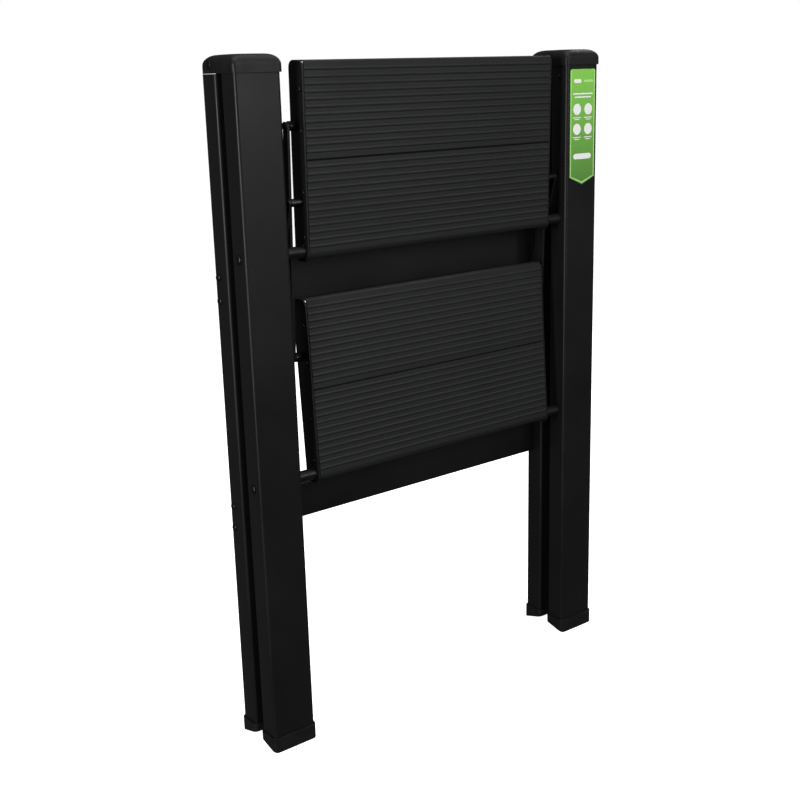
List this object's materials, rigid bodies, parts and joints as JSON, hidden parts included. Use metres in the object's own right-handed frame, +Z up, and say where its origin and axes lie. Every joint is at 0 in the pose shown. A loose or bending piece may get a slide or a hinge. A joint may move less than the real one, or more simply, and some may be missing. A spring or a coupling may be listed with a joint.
{
  "type": "folding step ladder",
  "caption": "Folding step ladder with wide ribbed treads that turn level on rungs as the rear frame swings open, shown folded flat.",
  "frame": {"origin": "bottom centre of the folded ladder, on the floor", "axes": "+X to the right across the treads, -Y out of the treads when folded, +Z up along the rails"},
  "size_m": [0.483, 0.068, 0.7106],
  "materials": {
    "black_powder_coat": "satin black powder coat",
    "black_plastic": "fine-grained black moulded plastic",
    "black_steel": "semi-gloss black-finished steel",
    "green_sticker": "printed vinyl label with plain white shapes"
  },
  "bodies": {
    "front_frame": {"front_foot_left": "black_plastic", "front_foot_right": "black_plastic", "front_rail_left": "black_powder_coat", "front_rail_right": "black_powder_coat", "hinge_cap_left": "black_plastic", "hinge_cap_right": "black_plastic", "hinge_pin_left": "black_steel", "hinge_pin_right": "black_steel", "label": "green_sticker", "lower_rung": "black_powder_coat", "lower_rung_screw_left": "black_steel", "lower_rung_screw_right": "black_steel", "upper_rung": "black_powder_coat", "upper_rung_screw_left": "black_steel", "upper_rung_screw_right": "black_steel"},
    "rear_frame": {"brace_pin_left": "black_steel", "brace_pin_right": "black_steel", "hinge_tongue_left": "black_plastic", "hinge_tongue_right": "black_plastic", "lower_bottom_crossbar_screw_left": "black_steel", "lower_bottom_crossbar_screw_right": "black_steel", "lower_crossbar": "black_powder_coat", "lower_top_crossbar_screw_left": "black_steel", "lower_top_crossbar_screw_right": "black_steel", "rear_foot_left": "black_plastic", "rear_foot_right": "black_plastic", "rear_rail_left": "black_powder_coat", "rear_rail_right": "black_powder_coat", "upper_bottom_crossbar_screw_left": "black_steel", "upper_bottom_crossbar_screw_right": "black_steel", "upper_crossbar": "black_powder_coat", "upper_top_crossbar_screw_left": "black_steel", "upper_top_crossbar_screw_right": "black_steel"},
    "upper_step": {"brace_stud_left": "black_steel", "brace_stud_right": "black_steel", "upper_end_plate_left": "black_powder_coat", "upper_end_plate_right": "black_powder_coat", "upper_tie_pin_left": "black_steel", "upper_tie_pin_right": "black_steel", "upper_tread_back_plank": "black_powder_coat", "upper_tread_front_plank": "black_powder_coat"},
    "lower_step": {"lower_end_plate_left": "black_powder_coat", "lower_end_plate_right": "black_powder_coat", "lower_tie_pin_left": "black_steel", "lower_tie_pin_right": "black_steel", "lower_tread_back_plank": "black_powder_coat", "lower_tread_front_plank": "black_powder_coat"},
    "tie_left": {"tie_bar_left": "black_powder_coat"},
    "tie_right": {"tie_bar_right": "black_powder_coat"},
    "brace_left": {"brace_link_left": "black_powder_coat"},
    "brace_right": {"brace_link_right": "black_powder_coat"}
  },
  "joints": [
    {"name": "rear_frame_hinge", "type": "hinge", "parent": "front_frame", "child": "rear_frame", "pos_m": [0, 0.0108, 0.702], "axis": [1, 0, 0], "range_deg": [0, 30.7]},
    {"name": "upper_step_hinge", "type": "hinge", "parent": "front_frame", "child": "upper_step", "pos_m": [0, -0.019, 0.5225], "axis": [-1, 0, 0], "range_deg": [0, 75.8]},
    {"name": "lower_step_hinge", "type": "hinge", "parent": "front_frame", "child": "lower_step", "pos_m": [0, -0.019, 0.292], "axis": [-1, 0, 0], "range_deg": [0, 71.1]},
    {"name": "tie_left_pivot", "type": "hinge", "parent": "upper_step", "child": "tie_left", "pos_m": [-0.174, -0.01354, 0.64364], "axis": [1, 0, 0], "range_deg": [0, 73.67]},
    {"name": "brace_left_pivot", "type": "hinge", "parent": "rear_frame", "child": "brace_left", "pos_m": [-0.18, 0.01154, 0.465], "axis": [1, 0, 0], "range_deg": [0, 23.33]},
    {"name": "tie_right_pivot", "type": "hinge", "parent": "upper_step", "child": "tie_right", "pos_m": [0.174, -0.01354, 0.64364], "axis": [1, 0, 0], "range_deg": [0, 73.67]},
    {"name": "brace_right_pivot", "type": "hinge", "parent": "rear_frame", "child": "brace_right", "pos_m": [0.18, 0.01154, 0.465], "axis": [1, 0, 0], "range_deg": [0, 23.33]}
  ],
  "couplings": [
    {"joint": "upper_step_hinge", "follows": "rear_frame_hinge", "ratio": 2.469},
    {"joint": "lower_step_hinge", "follows": "rear_frame_hinge", "ratio": 2.3159},
    {"joint": "tie_left_pivot", "follows": "rear_frame_hinge", "ratio": 2.3997},
    {"joint": "brace_left_pivot", "follows": "rear_frame_hinge", "ratio": 0.75992},
    {"joint": "tie_right_pivot", "follows": "rear_frame_hinge", "ratio": 2.3997},
    {"joint": "brace_right_pivot", "follows": "rear_frame_hinge", "ratio": 0.75992}
  ]
}
